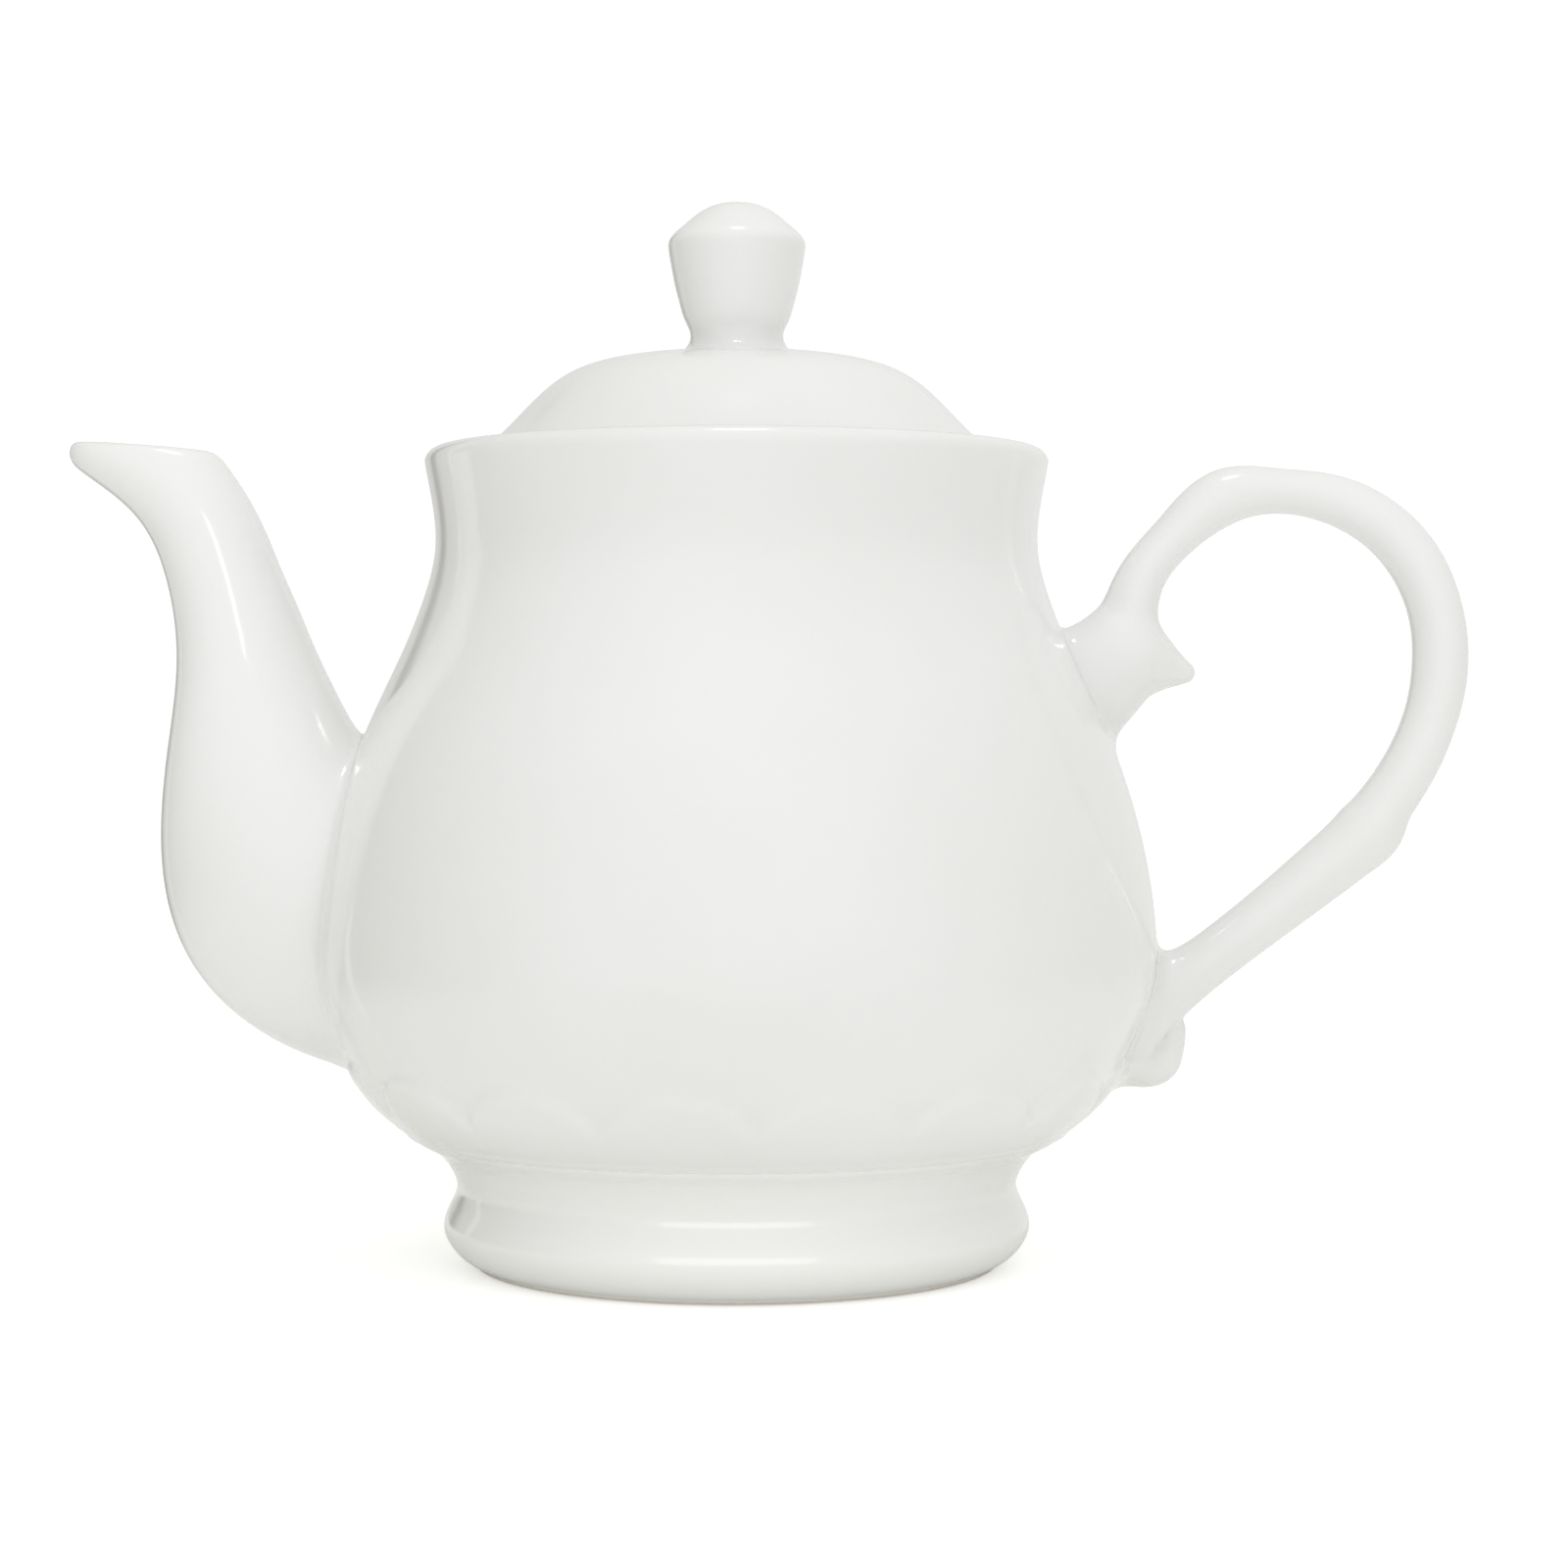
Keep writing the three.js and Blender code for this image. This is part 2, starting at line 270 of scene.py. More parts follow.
NUDGE = 0.02  # the step over which a field's slope is read
LONGEST_MOVE = 0.6
LEAST_SLOPE_SQUARED = 0.09


def slope_of(field, points):
    """The field's unit slope at each point, which is the surface's normal there."""
    moves = np.eye(3) * NUDGE
    slope = np.stack([field(points + move) - field(points - move) for move in moves], axis=1)
    return slope / np.maximum(np.linalg.norm(slope, axis=1), 1e-9)[:, None]


def settle(field, points, times):
    """Points moved onto field = 0 along its slope."""
    for _ in range(times):
        here = field(points)
        slope = np.stack([(field(points + move) - here) / NUDGE for move in np.eye(3) * NUDGE], axis=1)
        size = np.maximum((slope ** 2).sum(axis=1), LEAST_SLOPE_SQUARED)
        points = points - np.clip(here, -LONGEST_MOVE, LONGEST_MOVE)[:, None] * slope / size[:, None]
    return points


def soft_min(a, b, k):
    """The smaller of two fields, blended where they differ by less than k."""
    h = np.maximum(k - np.abs(a - b), 0) / k
    return np.minimum(a, b) - h ** 3 * k / 6


def soft_max(a, b, k):
    return -soft_min(-a, -b, k)


# The pot's outline: [radius, height].

SEAM = (52.6, 21.0)
BELLY = [
    SEAM, (56.5, 24.2), (62.7, 32.0), (67.2, 43.5), (68.2, 52.0), (66.0, 68.5), (60.2, 86.5),
    (54.2, 99.5), (49.9, 111.0), (48.9, 118.5), (50.4, 128.6),
]
belly = spline(BELLY, 0.9)
WALL = 3.8
FLOOR = 25.4


# Shallow petals round the foot of the belly, their round tops side by side and a cusp between each two.

PETALS = 16
PETAL_TURN = math.radians(3.5)
PETAL_RISE = 1.15
PETAL_EDGE = 0.55  # softness of the step at a petal's top
PETAL_CUSP = 27.4  # height of the cusps between petals
PETAL_ARCH = 6.2  # how much higher a petal's round top is
PETAL_START = 6.5  # the relief grows over this height above the seam
GROUND_FROM, GROUND_OVER = 34, 12  # the sunk ground fades out from this height, over this much


def smooth(t):
    t = np.clip(t, 0, 1)
    return t * t * (3 - 2 * t)


def petal_relief(z, angle):
    """How far the surface stands off the outline: out on a petal, in on the ground round the petals' tops."""
    arch = np.abs(np.sin((angle + math.pi / 2 - PETAL_TURN) * PETALS / 2)) ** 0.8
    top = PETAL_CUSP + PETAL_ARCH * arch
    petal = 1 / (1 + np.exp(np.clip((z - top) / PETAL_EDGE, -50, 50)))
    sunk = 0.5 * (1 - smooth((z - GROUND_FROM) / GROUND_OVER))
    return PETAL_RISE * smooth((z - SEAM[1]) / PETAL_START) * (petal - sunk)


def belly_field(p):
    """Signed distance, near enough, to the pot's outer surface between its seam and its rim."""
    r = np.hypot(p[:, 0], p[:, 1])
    relief = petal_relief(p[:, 2], np.arctan2(p[:, 1], p[:, 0]))
    radius = np.interp(p[:, 2], belly[:, 1], belly[:, 0]) + relief
    slope = np.interp(p[:, 2], belly[:, 1], np.gradient(belly[:, 0], belly[:, 1]))
    return (r - radius) / np.sqrt(1 + slope ** 2)


# The pot: outer wall, rolled rim, the ledge that the lid sits on, and the inside.

RIDGE_HEIGHT = 0.2  # of the fine raised line round the seam with the foot
RIDGE_POINTS = 25
RIDGE_SPACING = 0.1
WALL_SPACING = 0.8


def petals(r, z, angle):
    """The petals as relief on the outside of the pot's turned wall."""
    outer = np.interp(z, belly[:, 1], belly[:, 0])
    on_outside = (r > outer - 0.6) & (z > SEAM[1]) & (z < 60)
    return r + petal_relief(z, angle) * on_outside, z


inside = offset_inward(belly, WALL)
inside = inside[(inside[:, 1] > 28.5) & (inside[:, 1] < 118)][::-1]
ridge = spline(BELLY, RIDGE_SPACING)[:RIDGE_POINTS]
ridge = offset_inward(ridge, -RIDGE_HEIGHT * np.sin(np.linspace(0, math.pi, len(ridge)))[:, None] ** 2)
outer_and_inner = rounded([
    *belly[3:-1], (50.75, 130.6, 1.6), (49.4, 132.15, 1.3), (46.9, 131.75, 1.1), (46.35, 127.2, 0.9),
    (39.6, 127.2, 0.9), (39.6, 124.0, 1.4), (44.9, 119.8, 2.5), *inside,
    (47.5, FLOOR + 0.4, 7), (38, FLOOR, 5), (0, FLOOR),
], 7)
underside = [(0, SEAM[1]), (SEAM[0] - 0.2, SEAM[1])]
pot_outline = np.vstack([even(underside, WALL_SPACING), ridge, even(outer_and_inner, WALL_SPACING)])
POT = turned(pot_outline, SEGMENTS, petals)

# The foot ring: a bulge over a ground, unglazed edge.

foot_side = spline([
    (42.9, 0.6), (45.6, 2.4), (47.7, 6.8), (45.7, 12.2), (46.3, 15.4), (48.8, 18.7), (51.6, 20.32),
    (53.0, 21.28),
], 0.5)
foot_outline = rounded([
    (38.8, 0, 0.3), (42.4, 0, 0.45), *foot_side, (52.2, SEAM[1] + 0.6),
    (40.6, SEAM[1] + 0.12, 0.2), (40.4, 9), (38.8, 1.6, 1.2), (38.8, 0),
], 5)
FOOT = turned(even(foot_outline, 0.45)[:-1], SEGMENTS)

# The lid and its knob.

LID_WALL = 3.4
dome = spline([
    (44.25, 129.3), (42.4, 130.9), (37.6, 135.3), (31.3, 141.65), (24.5, 145.65), (12.4, 147.55), (0, 147.9),
], 0.9)
hollow = offset_inward(dome, LID_WALL)
hollow = hollow[(hollow[:, 0] < 33.5) & (hollow[:, 0] > 0.4)][::-1]
lid_outline = rounded([
    (0, 144.5), *hollow, (35.6, 134.6, 2.5), (35.6, 116.5, 0.9), (37.1, 115.6, 0.9), (38.6, 116.8, 0.8),
    (38.6, 127.5, 0.6), (43.9, 127.5, 0.6), (44.7, 128.4, 0.6), *dome[1:-1], (0, 147.9),
], 6)
lid_outline = even(lid_outline, 0.75)
lid_outline[0, 0] = lid_outline[-1, 0] = 0
LID = turned(lid_outline, SEGMENTS)

knob_side = spline([
    (10.6, 147.65), (9.0, 148.3), (7.85, 149.6), (7.6, 151.3), (8.15, 152.7), (8.7, 153.9), (9.45, 156.5),
    (10.1, 159.0), (10.6, 161.6), (11.05, 164.2), (11.2, 165.4),
], 0.6)
knob_crown = spline([
    (11.15, 166.0), (10.7, 166.9), (9.4, 168.15), (8.0, 169.35), (6.6, 170.5), (4.8, 171.6), (2.5, 172.35),
    (0, 172.6),
], 0.6)
knob_outline = rounded([(0, 147.0), (9.8, 147.1), *knob_side, *knob_crown], 4)
knob_outline = even(knob_outline, 0.5)
knob_outline[0, 0] = knob_outline[-1, 0] = 0
KNOB = turned(knob_outline, SEGMENTS // 2)


# The spout: oval sections from a front edge to a back edge, [front x, front z, back x, back z, width].

SPACING = 0.25  # between the sections of the spout and of the handle
SPOUT = spline([
    (-50.0, 28.6, -44.0, 83.5, 42), (-62.5, 31.2, -55.6, 83.6, 40.5), (-75.0, 35.9, -61.4, 86.2, 38),
    (-85.6, 44.2, -64.2, 90.4, 34.5), (-91.8, 55.0, -66.7, 95.4, 30.5), (-93.9, 68.5, -69.3, 101.1, 26),
    (-92.8, 83.5, -71.9, 107.4, 22), (-91.3, 98.0, -74.6, 113.6, 19), (-93.0, 111.3, -77.6, 120.7, 17.2),
    (-98.2, 121.8, -81.2, 127.0, 15.8), (-106.3, 128.4, -84.3, 131.4, 14.4),
    (-108.6, 131.0, -85.4, 133.4, 13.2),
    (-108.4, 134.4, -86.0, 136.4, 12.6), (-108.0, 138.0, -86.6, 139.6, 12.6),
], SPACING)
FAR = 30.0  # fields are not told apart beyond this
STRIDE = 6  # the nearest section is looked for among every sixth, and then refined
BATCH = 20000  # points at a time, to spare memory


def sweep_field(p, sections, wall=0.0):
    """Roughly the distance to a skin of ovals.

    Each section is [middle x, z, across x, z, half length, half width].
    """
    middle, across, a, b = sections[:, 0:2], sections[:, 2:4], sections[:, 4], sections[:, 5]
    ahead = np.stack([-across[:, 1], across[:, 0]], axis=1)
    ahead *= np.sign((np.gradient(middle, axis=0) * ahead).sum(axis=1))[:, None]
    last = len(sections) - 1.001
    out = np.empty(len(p))
    for i in range(0, len(p), BATCH):
        q = p[i:i + BATCH][:, [0, 2]]
        rel = q[:, None, :] - middle[None, ::STRIDE]
        along = (rel * ahead[None, ::STRIDE]).sum(axis=2)
        side = np.abs((rel * across[None, ::STRIDE]).sum(axis=2))
        gap = np.hypot(along, np.maximum(side - a[None, ::STRIDE], 0))
        at = np.argmin(gap, axis=1)
        t = np.clip(at * STRIDE + along[np.arange(len(q)), at] / SPACING, 0, last)
        for _ in range(2):
            k = t.astype(int)
            f = (t - k)[:, None]
            m = middle[k] * (1 - f) + middle[k + 1] * f
            n = ahead[k] * (1 - f) + ahead[k + 1] * f
            turning = ((ahead[k + 1] - ahead[k]) * (q - m)).sum(axis=1)
            speed = ((middle[k + 1] - middle[k]) * n).sum(axis=1) - turning
            t = np.clip(t + ((q - m) * n).sum(axis=1) / np.maximum(speed, 0.03), 0, last)
        k = t.astype(int)
        f = t - k
        g = f[:, None]
        m = middle[k] * (1 - g) + middle[k + 1] * g
        e = across[k] * (1 - g) + across[k + 1] * g
        n = ahead[k] * (1 - g) + ahead[k + 1] * g
        aa = a[k] * (1 - f) + a[k + 1] * f - wall
        bb = b[k] * (1 - f) + b[k + 1] * f - wall
        beyond = np.where((t <= 0) | (t >= last), ((q - m) * n).sum(axis=1), 0)
        u = np.hypot(((q - m) * e).sum(axis=1), beyond) / aa
        v = p[i:i + BATCH, 1] / bb
        s = np.sqrt(u * u + v * v) + 1e-6
        out[i:i + BATCH] = (s - 1) * s / (np.sqrt((u / aa) ** 2 + (v / bb) ** 2) + 1e-6)
    return np.clip(out, -FAR, FAR)


front, back = SPOUT[:, 0:2], SPOUT[:, 2:4]
half = np.linalg.norm(front - back, axis=1) / 2
SPOUT_SECTIONS = np.column_stack([
    (front + back) / 2, (front - back) / 2 / half[:, None], half, SPOUT[:, 4] / 2,
])

LIP_FROM, LIP_TO = (-107.6, 133.7), (-85.0, 132.1)
LIP_EDGE, BORE_EDGE = 2.6, 1.4  # softness of the lip's outer and inner edges
SPOUT_FILLETS = (5.0, 1.6)  # low on the pot and in the fork above
SPOUT_FILLET_HEIGHTS = (60, 84)
FILLET_MARGIN = 0.4  # the skins end this far beyond their fillets
SPOUT_WALL = 3.0
LIP_WALL = 0.9  # how much thicker the wall has grown at the lip
NECK_FROM, NECK_OVER = 108, 22  # it grows from this height, over this much
SKIRT = 3.0  # how far the spout and the handle reach into the pot's wall
INSET = 0.012  # of the skins' edges in the pot's wall
PETAL_INSET = 0.07  # how much deeper they lie among the petals
INSET_FROM, INSET_OVER = 34, 8  # the deeper part fades out from this height, over this much


def inset(z):
    """How deep the skins' edges lie in the pot's wall, so that little but the fillets shows."""
    return INSET + PETAL_INSET * (1 - smooth((z - INSET_FROM) / INSET_OVER))


def spout_solid(p):
    """The spout's field: ovals that flow into the pot, cut level at the lip and bored through."""
    outer = sweep_field(p, SPOUT_SECTIONS)
    wall = belly_field(p)
    rise = (LIP_TO[1] - LIP_FROM[1]) / (LIP_TO[0] - LIP_FROM[0])
    lip = (p[:, 2] - LIP_FROM[1] - rise * (p[:, 0] - LIP_FROM[0])) / math.hypot(1, rise)
    depth = np.clip((p[:, 2] - NECK_FROM) / NECK_OVER, 0, 1)
    bore = sweep_field(p, SPOUT_SECTIONS, SPOUT_WALL) + LIP_WALL * depth
    fillet = np.interp(p[:, 2], SPOUT_FILLET_HEIGHTS, SPOUT_FILLETS)
    f = soft_min(outer, wall, fillet) + inset(p[:, 2])
    f = soft_max(f, lip, LIP_EDGE)
    f = soft_max(f, -bore, BORE_EDGE)
    f = np.maximum(f, -(wall + SKIRT))
    return np.maximum(f, outer - fillet - FILLET_MARGIN)


# The handle: a bar along a path of [x, z, thickness], a thumb spur, and the curl that it ends in.

BAR_LEAST, BAR_SPREAD = 3.0, 0.225  # half the bar's width: the least, and its share of the thickness


def bar(rows):
    """Sections that stand square to the path of [x, z, thickness] rows.

    Thick ones are less wide than they are deep.
    """
    r = spline(rows, SPACING)
    half_width = BAR_LEAST + BAR_SPREAD * r[:, 2]
    along = np.gradient(r[:, :2], axis=0)
    along /= np.linalg.norm(along, axis=1)[:, None]
    return np.column_stack([r[:, :2], -along[:, 1], along[:, 0], r[:, 2] / 2, half_width])


HANDLE = bar([
    (52.0, 90.0, 19.6), (55.4, 93.2, 19.2), (59.8, 97.2, 17.4), (63.4, 104.0, 10.6), (65.9, 111.5, 8.0),
    (71.5, 118.5, 7.7), (79.2, 124.6, 9.2), (87.7, 125.7, 7.5), (96.8, 124.4, 8.0), (104.9, 120.3, 8.6),
    (110.7, 113.9, 8.9), (114.0, 105.8, 8.9), (114.7, 97.0, 9.1), (113.1, 88.5, 8.8), (109.4, 80.1, 8.9),
    (105.6, 74.2, 9.5), (103.3, 70.6, 11.1), (100.2, 67.6, 10.6), (96.6, 64.6, 10.1), (87.8, 57.5, 9.1),
    (78.4, 50.2, 8.7), (71.4, 44.5, 8.9), (66.4, 38.6, 8.4), (64.4, 33.6, 7.6),
])
CURL = spline([
    (66.4, 38.2, 7.6), (65.0, 34.8, 7.8), (66.2, 32.3, 7.4), (68.6, 32.3, 7.0), (70.2, 34.2, 5.7),
    (71.3, 36.4, 4.2), (71.9, 38.0, 3.0),
], 0.15)
SPUR = spline([
    (63.0, 98.8, 15.0), (65.0, 98.4, 12.6), (67.0, 97.8, 10.3), (69.0, 97.2, 7.8), (71.0, 96.6, 5.6),
    (73.0, 96.1, 3.5),
], 0.15)
# The corner over the upper root.
KNUCKLE = spline([(52.5, 97.6, 6.8), (56.5, 99.9, 7.6), (59.8, 101.9, 7.2)], 0.3)
ADDED = ((KNUCKLE, 1.4, 3.5), (SPUR, 0.95, 2.8), (CURL, 1.25, 1.6))  # balls, flatness, softness of the join
BEADS_REACH = 24  # no ball's surface matters further from the middle of its string
HANDLE_FILLETS = (9.0, 6.5, 2.0)  # at the lower root, under the upper one and on top of it
HANDLE_FILLET_HEIGHTS = (55, 80, 104)


def beads_field(p, beads, flatness):
    """Distance to a string of balls [x, z, diameter] drawn out sideways by flatness."""
    out = np.full(len(p), FAR)
    near = np.hypot(p[:, 0] - beads[:, 0].mean(), p[:, 2] - beads[:, 1].mean()) < BEADS_REACH
    q = p[near] / (1, flatness, 1)
    gap = np.full(len(q), FAR)
    for x, z, diameter in beads:
        gap = np.minimum(gap, np.sqrt((q[:, 0] - x) ** 2 + q[:, 1] ** 2 + (q[:, 2] - z) ** 2) - diameter / 2)
    out[near] = gap
    return out


def handle_solid(p):
    """The handle's field: bar, knuckle, spur and curl, flowing into the pot."""
    h = sweep_field(p, HANDLE)
    for balls, flatness, softness in ADDED:
        h = soft_min(h, beads_field(p, balls, flatness), softness)
    wall = belly_field(p)
    fillet = np.interp(p[:, 2], HANDLE_FILLET_HEIGHTS, HANDLE_FILLETS)
    f = soft_min(h, wall, fillet) + inset(p[:, 2])
    f = np.maximum(f, -(wall + SKIRT))
    return np.maximum(f, h - fillet - FILLET_MARGIN)


# Materials: white porcelain under a clear glaze.

GLAZE = (0.865, 0.865, 0.86)


def porcelain(name, seed=0.0, pool=None):
    """Glazed porcelain. With pool, the glaze is deep under the first height and fades out by the second."""
    mat = bpy.data.materials.new(name)
    mat.use_nodes = True
    nodes, links = mat.node_tree.nodes, mat.node_tree.links
    shader = nodes["Principled BSDF"]
    place = nodes.new("ShaderNodeTexCoord")
    shift = nodes.new("ShaderNodeMapping")
    shift.inputs["Location"].default_value = (seed, seed * 0.7, seed * 1.3)
    links.new(place.outputs["Object"], shift.inputs["Vector"])

    cloud = nodes.new("ShaderNodeTexNoise")
    cloud.inputs["Scale"].default_value = 22
    cloud.inputs["Detail"].default_value = 3
    links.new(shift.outputs["Vector"], cloud.inputs["Vector"])
    tone = nodes.new("ShaderNodeValToRGB")
    tone.color_ramp.elements[0].position = 0.3
    tone.color_ramp.elements[0].color = (GLAZE[0] * 0.975, GLAZE[1] * 0.98, GLAZE[2] * 0.965, 1)
    tone.color_ramp.elements[1].position = 0.7
    tone.color_ramp.elements[1].color = (GLAZE[0] * 1.01, GLAZE[1] * 1.01, GLAZE[2] * 1.012, 1)
    links.new(cloud.outputs["Fac"], tone.inputs["Fac"])

    cells = nodes.new("ShaderNodeTexVoronoi")
    cells.inputs["Scale"].default_value = 260
    links.new(shift.outputs["Vector"], cells.inputs["Vector"])
    chance = nodes.new("ShaderNodeMath")
    chance.operation = "GREATER_THAN"
    chance.inputs[1].default_value = 0.985
    links.new(cells.outputs["Color"], chance.inputs[0])
    dot = nodes.new("ShaderNodeMath")
    dot.operation = "LESS_THAN"
    dot.inputs[1].default_value = 0.055
    links.new(cells.outputs["Distance"], dot.inputs[0])
    speck = nodes.new("ShaderNodeMath")
    speck.operation = "MULTIPLY"
    links.new(chance.outputs[0], speck.inputs[0])
    links.new(dot.outputs[0], speck.inputs[1])
    spotted = nodes.new("ShaderNodeMix")
    spotted.data_type = "RGBA"
    spotted.inputs["B"].default_value = (0.42, 0.39, 0.34, 1)
    links.new(speck.outputs[0], spotted.inputs["Factor"])
    links.new(tone.outputs["Color"], spotted.inputs["A"])
    colour = spotted.outputs["Result"]

    if pool is not None:
        where = nodes.new("ShaderNodeSeparateXYZ")
        links.new(place.outputs["Object"], where.inputs[0])
        ramp = nodes.new("ShaderNodeMapRange")
        ramp.interpolation_type = "SMOOTHSTEP"
        ramp.inputs["From Min"].default_value = pool[0] * MM
        ramp.inputs["From Max"].default_value = pool[1] * MM
        ramp.inputs["To Min"].default_value = 1
        ramp.inputs["To Max"].default_value = 0
        links.new(where.outputs["Z"], ramp.inputs["Value"])
        deep = nodes.new("ShaderNodeMix")
        deep.data_type = "RGBA"
        deep.inputs["B"].default_value = (GLAZE[0] * 0.96, GLAZE[1] * 0.97, GLAZE[2] * 0.95, 1)
        links.new(ramp.outputs["Result"], deep.inputs["Factor"])
        links.new(colour, deep.inputs["A"])
        colour = deep.outputs["Result"]
    links.new(colour, shader.inputs["Base Color"])

    gloss = nodes.new("ShaderNodeMapRange")
    gloss.inputs["To Min"].default_value = 0.16
    gloss.inputs["To Max"].default_value = 0.24
    links.new(cloud.outputs["Fac"], gloss.inputs["Value"])
    links.new(gloss.outputs["Result"], shader.inputs["Roughness"])

    wave = nodes.new("ShaderNodeTexNoise")
    wave.inputs["Scale"].default_value = 95
    wave.inputs["Detail"].default_value = 2
    links.new(shift.outputs["Vector"], wave.inputs["Vector"])
    peel = nodes.new("ShaderNodeTexNoise")
    peel.inputs["Scale"].default_value = 520
    peel.inputs["Detail"].default_value = 1
    links.new(shift.outputs["Vector"], peel.inputs["Vector"])
    coarse = nodes.new("ShaderNodeBump")
    coarse.inputs["Strength"].default_value = 0.06
    coarse.inputs["Distance"].default_value = 0.001
    links.new(wave.outputs["Fac"], coarse.inputs["Height"])
    fine = nodes.new("ShaderNodeBump")
    fine.inputs["Strength"].default_value = 0.05
    fine.inputs["Distance"].default_value = 0.0002
    links.new(peel.outputs["Fac"], fine.inputs["Height"])
    links.new(coarse.outputs["Normal"], fine.inputs["Normal"])
    links.new(fine.outputs["Normal"], shader.inputs["Normal"])
    links.new(fine.outputs["Normal"], shader.inputs["Coat Normal"])

    shader.inputs["IOR"].default_value = 1.5
    shader.inputs["Coat Weight"].default_value = 0.85
    shader.inputs["Coat Roughness"].default_value = 0.035
    shader.inputs["Coat IOR"].default_value = 1.5
    shader.inputs["Subsurface Weight"].default_value = 0.12
    shader.inputs["Subsurface Radius"].default_value = (1.0, 0.9, 0.75)
    shader.inputs["Subsurface Scale"].default_value = 0.0018
    return mat


def bisque(name):
    """The bare, ground clay of the edge that the foot stands on."""
    mat = bpy.data.materials.new(name)
    mat.use_nodes = True
    nodes, links = mat.node_tree.nodes, mat.node_tree.links
    shader = nodes["Principled BSDF"]
    place = nodes.new("ShaderNodeTexCoord")
    grain = nodes.new("ShaderNodeTexNoise")
    grain.inputs["Scale"].default_value = 900
    grain.inputs["Detail"].default_value = 6
    links.new(place.outputs["Object"], grain.inputs["Vector"])
    tone = nodes.new("ShaderNodeValToRGB")
    tone.color_ramp.elements[0].color = (0.70, 0.63, 0.52, 1)
    tone.color_ramp.elements[1].color = (0.86, 0.82, 0.74, 1)
    links.new(grain.outputs["Fac"], tone.inputs["Fac"])
    links.new(tone.outputs["Color"], shader.inputs["Base Color"])
    bump = nodes.new("ShaderNodeBump")
    bump.inputs["Strength"].default_value = 0.5
    bump.inputs["Distance"].default_value = 0.0001
    links.new(grain.outputs["Fac"], bump.inputs["Height"])
    links.new(bump.outputs["Normal"], shader.inputs["Normal"])
    shader.inputs["Roughness"].default_value = 0.75
    return mat


body_glaze = porcelain("body_glaze", pool=(20, 25))
foot_glaze = porcelain("foot_glaze", pool=(16, 25))
spout_glaze = porcelain("spout_glaze")
handle_glaze = porcelain("handle_glaze")
lid_glaze = porcelain("lid_glaze", seed=1.21)
knob_glaze = porcelain("knob_glaze", seed=1.57)
bare_porcelain = bisque("bare_porcelain")

pot_piece = make_piece("pot", POT, "pot", ["pot_body"], [body_glaze])
foot_piece = make_piece("foot", FOOT, "pot", ["foot_ring"], [foot_glaze, bare_porcelain])
GROUND_EDGE = 0.00062  # faces of the foot wholly under this height are bare clay
for face in foot_piece.data.polygons:
    if all(foot_piece.data.vertices[v].co.z < GROUND_EDGE for v in face.vertices):
        face.material_index = 1
lid_piece = make_piece("lid_dome", LID, "lid", ["lid"], [lid_glaze])
make_piece("knob", KNOB, "lid", ["lid_knob"], [knob_glaze])
SPOUT_STEP = 0.85
spout_mesh = skin(spout_solid, (-112, -32, 16), (-36, 32, 138), SPOUT_STEP)
spout_piece = make_piece("spout_skin", spout_mesh, "pot", ["spout"], [spout_glaze])
HANDLE_STEP = 0.7
handle_mesh = skin(handle_solid, (42, -20, 19), (122.5, 20, 132), HANDLE_STEP)
make_piece("handle_skin", handle_mesh, "pot", ["handle"], [handle_glaze])


# Holes: the strainer behind the spout, and the steam vent in the lid.

def cut(piece, rods):
    """Bores holes through a piece. Each rod is [middle, direction, radius, length] in millimetres."""
    tool = bmesh.new()
    for middle, direction, radius, length in rods:
        turn = Vector((0, 0, 1)).rotation_difference(Vector(direction)).to_matrix().to_4x4()
        turn.translation = Vector((middle[0] * MM + AXIS_X, middle[1] * MM, middle[2] * MM))
        bmesh.ops.create_cone(
            tool, cap_ends=True, segments=32, radius1=radius * MM, radius2=radius * MM,
            depth=length * MM, matrix=turn,
        )
    mesh = bpy.data.meshes.new("rods")
    tool.to_mesh(mesh)
    tool.free()
    mesh.shade_smooth()
    rod = bpy.data.objects.new("rods", mesh)
    bpy.context.collection.objects.link(rod)
    boolean = piece.modifiers.new("holes", "BOOLEAN")
    boolean.operation = "DIFFERENCE"
    boolean.solver = "EXACT"
    boolean.object = rod
    bpy.context.view_layer.update()
    shown = piece.evaluated_get(bpy.context.evaluated_depsgraph_get())
    cut_mesh = bpy.data.meshes.new_from_object(shown)
    piece.modifiers.clear()
    piece.data = cut_mesh
    bpy.data.objects.remove(rod)


HOLE_RADIUS = 2.3
HOLE_PITCH = 8.5
ROW_PITCH = 0.87  # of the hole pitch, as the rows are staggered
STRAINER_HEIGHT = 54
STRAINER_ROWS = (2, 3, 2, 3, 2)
VENT_RADIUS = 1.25

strainer = []
for row, count in enumerate(STRAINER_ROWS):
    height = STRAINER_HEIGHT + (row - len(STRAINER_ROWS) // 2) * HOLE_PITCH * ROW_PITCH
    for i in range(count):
        strainer.append(((-60, (i - (count - 1) / 2) * HOLE_PITCH, height), (1, 0, 0), HOLE_RADIUS, 30))
cut(pot_piece, strainer)
cut(lid_piece, [((0, 25, 144), (0, 0, 1), VENT_RADIUS, 20)])


# The studio: a pale floor that throws soft light back up. Camera rays see it brighter than the light it
# gives, and other rays see it only near the pot.

scene = bpy.context.scene
scene.view_settings.view_transform = "Standard"
scene.view_settings.look = "None"

